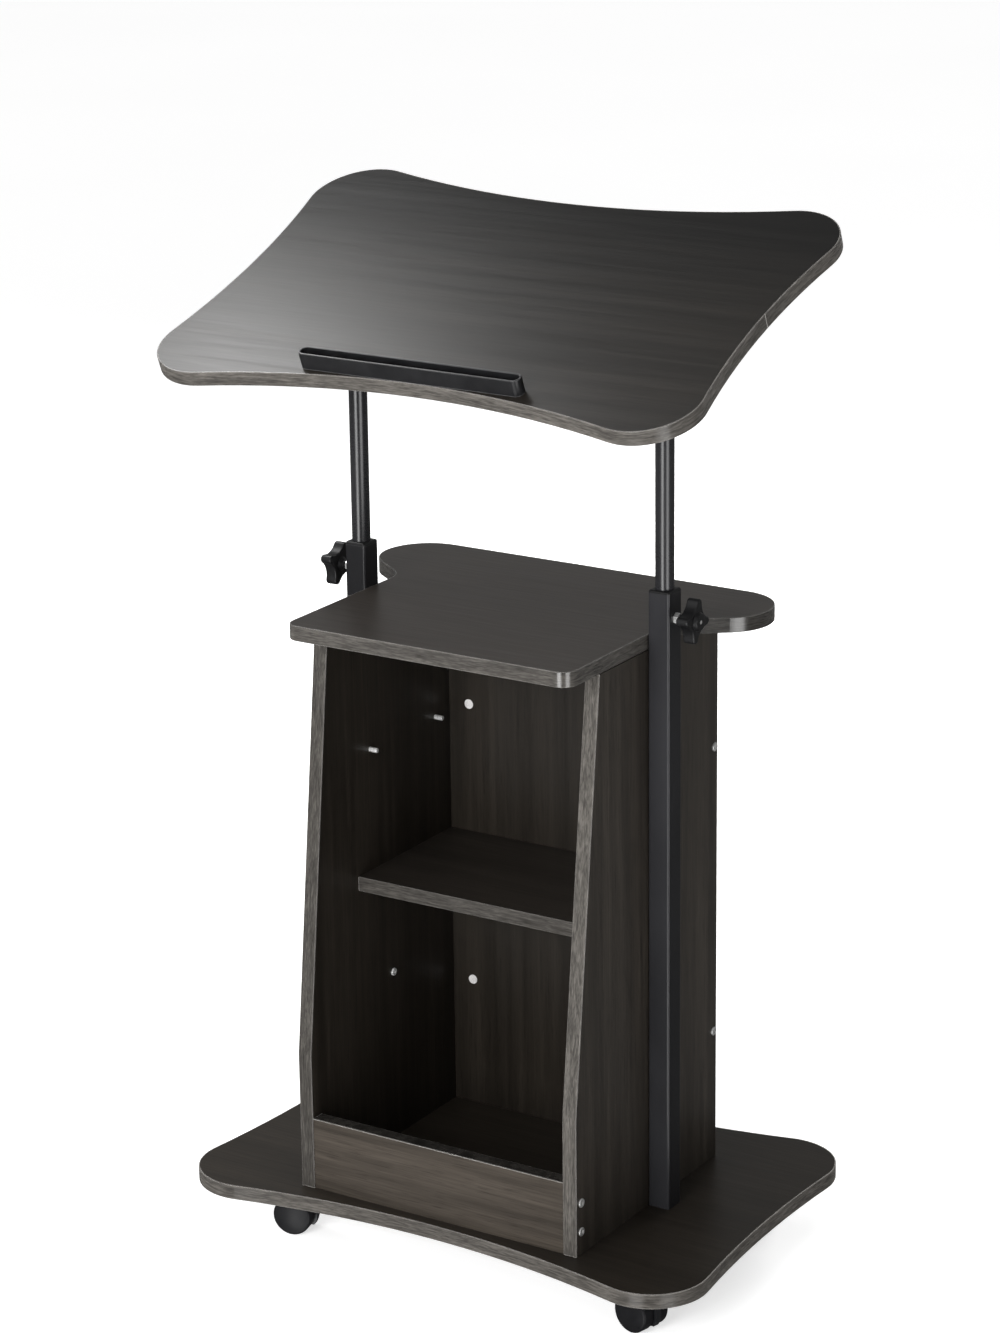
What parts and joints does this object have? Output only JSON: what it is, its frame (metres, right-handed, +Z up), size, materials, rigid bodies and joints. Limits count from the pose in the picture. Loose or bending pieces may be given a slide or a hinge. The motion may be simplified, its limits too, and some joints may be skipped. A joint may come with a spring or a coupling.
{
  "type": "rolling laptop cart",
  "caption": "Rolling laptop cart: hollow-sided base on twin-wheel casters, open cabinet with shelf and T-shaped top, clamped sliding tube frame carrying a tilting desktop with a front ledge.",
  "frame": {"origin": "on the floor under the centre of the bounding box at rest", "axes": "+Z up, +X to the right of someone facing the front of the cart, -Y out of the open front, +Y to the back panel"},
  "size_m": [0.58, 0.3972, 1.0306],
  "materials": {
    "laminate": "dark graphite wood-grain laminate, satin",
    "edge_band": "grey-brown wood-grain edge banding, satin",
    "black_tube": "black powder coat, satin",
    "black_plastic": "black moulded plastic, fine texture",
    "charcoal_plastic": "charcoal moulded plastic, satin",
    "zinc_steel": "zinc plated steel",
    "pale_plastic": "off-white moulded plastic",
    "dowel_wood": "plain beech",
    "caster_plastic": "black moulded plastic, satin",
    "caster_steel": "plain steel"
  },
  "bodies": {
    "cart": {"base_board": "laminate", "base_edge_band": "edge_band", "left_panel": "laminate", "right_panel": "laminate", "panel_edge_bands": "edge_band", "back_panel": "laminate", "kick_board": "laminate", "kick_edge_band": "edge_band", "middle_shelf": "laminate", "shelf_edge_band": "edge_band", "cabinet_top": "laminate", "top_edge_band": "edge_band", "left_post": "black_tube", "right_post": "black_tube", "left_post_collar": "black_plastic", "right_post_collar": "black_plastic", "post_feet": "black_plastic", "post_foot_screws": "zinc_steel", "post_screws": "zinc_steel", "post_nuts": "zinc_steel", "panel_screws": "zinc_steel", "cam_housings": "pale_plastic", "shelf_pins": "zinc_steel", "spare_shelf_pins": "zinc_steel", "top_dowels": "dowel_wood", "base_screws": "zinc_steel", "caster_plates": "zinc_steel", "caster_kingpins": "zinc_steel", "caster_screws": "zinc_steel"},
    "lift": {"lift_frame": "black_tube", "rod_end_plugs": "black_plastic"},
    "desktop": {"desktop_board": "laminate", "desktop_edge_band": "edge_band", "left_tilt_clamp": "black_plastic", "right_tilt_clamp": "black_plastic", "tilt_clamp_caps": "black_plastic", "tilt_clamp_screws": "zinc_steel", "tilt_mount_screws": "zinc_steel", "laptop_ledge": "charcoal_plastic", "ledge_screws": "zinc_steel"},
    "left_knob": {"left_knob": "black_plastic", "left_knob_stud": "zinc_steel"},
    "right_knob": {"right_knob": "black_plastic", "right_knob_stud": "zinc_steel"},
    "swivel_front_left": {"caster_front_left_hood": "caster_plastic"},
    "wheels_front_left": {"caster_front_left_wheels": "caster_plastic", "caster_front_left_axle": "caster_steel"},
    "swivel_front_right": {"caster_front_right_hood": "caster_plastic"},
    "wheels_front_right": {"caster_front_right_wheels": "caster_plastic", "caster_front_right_axle": "caster_steel"},
    "swivel_rear_left": {"caster_rear_left_hood": "caster_plastic"},
    "wheels_rear_left": {"caster_rear_left_wheels": "caster_plastic", "caster_rear_left_axle": "caster_steel"},
    "swivel_rear_right": {"caster_rear_right_hood": "caster_plastic"},
    "wheels_rear_right": {"caster_rear_right_wheels": "caster_plastic", "caster_rear_right_axle": "caster_steel"}
  },
  "joints": [
    {"name": "desk_height", "type": "slide", "parent": "cart", "child": "lift", "axis": [0, 0, 1], "range_m": [-0.18, 0.06]},
    {"name": "desk_tilt", "type": "hinge", "parent": "lift", "child": "desktop", "pos_m": [0, -0.0025, 0.931], "axis": [1, 0, 0], "range_deg": [-21, 14]},
    {"name": "left_knob_turn", "type": "hinge", "parent": "cart", "child": "left_knob", "pos_m": [-0.1885, -0.0025, 0.667], "axis": [-1, 0, 0], "range_deg": [-360, 360]},
    {"name": "right_knob_turn", "type": "hinge", "parent": "cart", "child": "right_knob", "pos_m": [0.1885, -0.0025, 0.667], "axis": [1, 0, 0], "range_deg": [-360, 360]},
    {"name": "swivel_front_left", "type": "hinge", "parent": "cart", "child": "swivel_front_left", "pos_m": [-0.2027, -0.12745, 0.04], "axis": [0, 0, 1], "continuous": true},
    {"name": "roll_front_left", "type": "hinge", "parent": "swivel_front_left", "child": "wheels_front_left", "pos_m": [-0.18565, -0.12352, 0.02], "axis": [-0.225, 0.9744, 0], "continuous": true},
    {"name": "swivel_front_right", "type": "hinge", "parent": "cart", "child": "swivel_front_right", "pos_m": [0.2027, -0.12745, 0.04], "axis": [0, 0, 1], "continuous": true},
    {"name": "roll_front_right", "type": "hinge", "parent": "swivel_front_right", "child": "wheels_front_right", "pos_m": [0.21975, -0.13139, 0.02], "axis": [0.225, 0.9744, 0], "continuous": true},
    {"name": "swivel_rear_left", "type": "hinge", "parent": "cart", "child": "swivel_rear_left", "pos_m": [-0.19, 0.13075, 0.04], "axis": [0, 0, 1], "continuous": true},
    {"name": "roll_rear_left", "type": "hinge", "parent": "swivel_rear_left", "child": "wheels_rear_left", "pos_m": [-0.1725, 0.13075, 0.02], "axis": [0, 1, 0], "continuous": true},
    {"name": "swivel_rear_right", "type": "hinge", "parent": "cart", "child": "swivel_rear_right", "pos_m": [0.19, 0.13075, 0.04], "axis": [0, 0, 1], "continuous": true},
    {"name": "roll_rear_right", "type": "hinge", "parent": "swivel_rear_right", "child": "wheels_rear_right", "pos_m": [0.2075, 0.13075, 0.02], "axis": [0, 1, 0], "continuous": true}
  ]
}
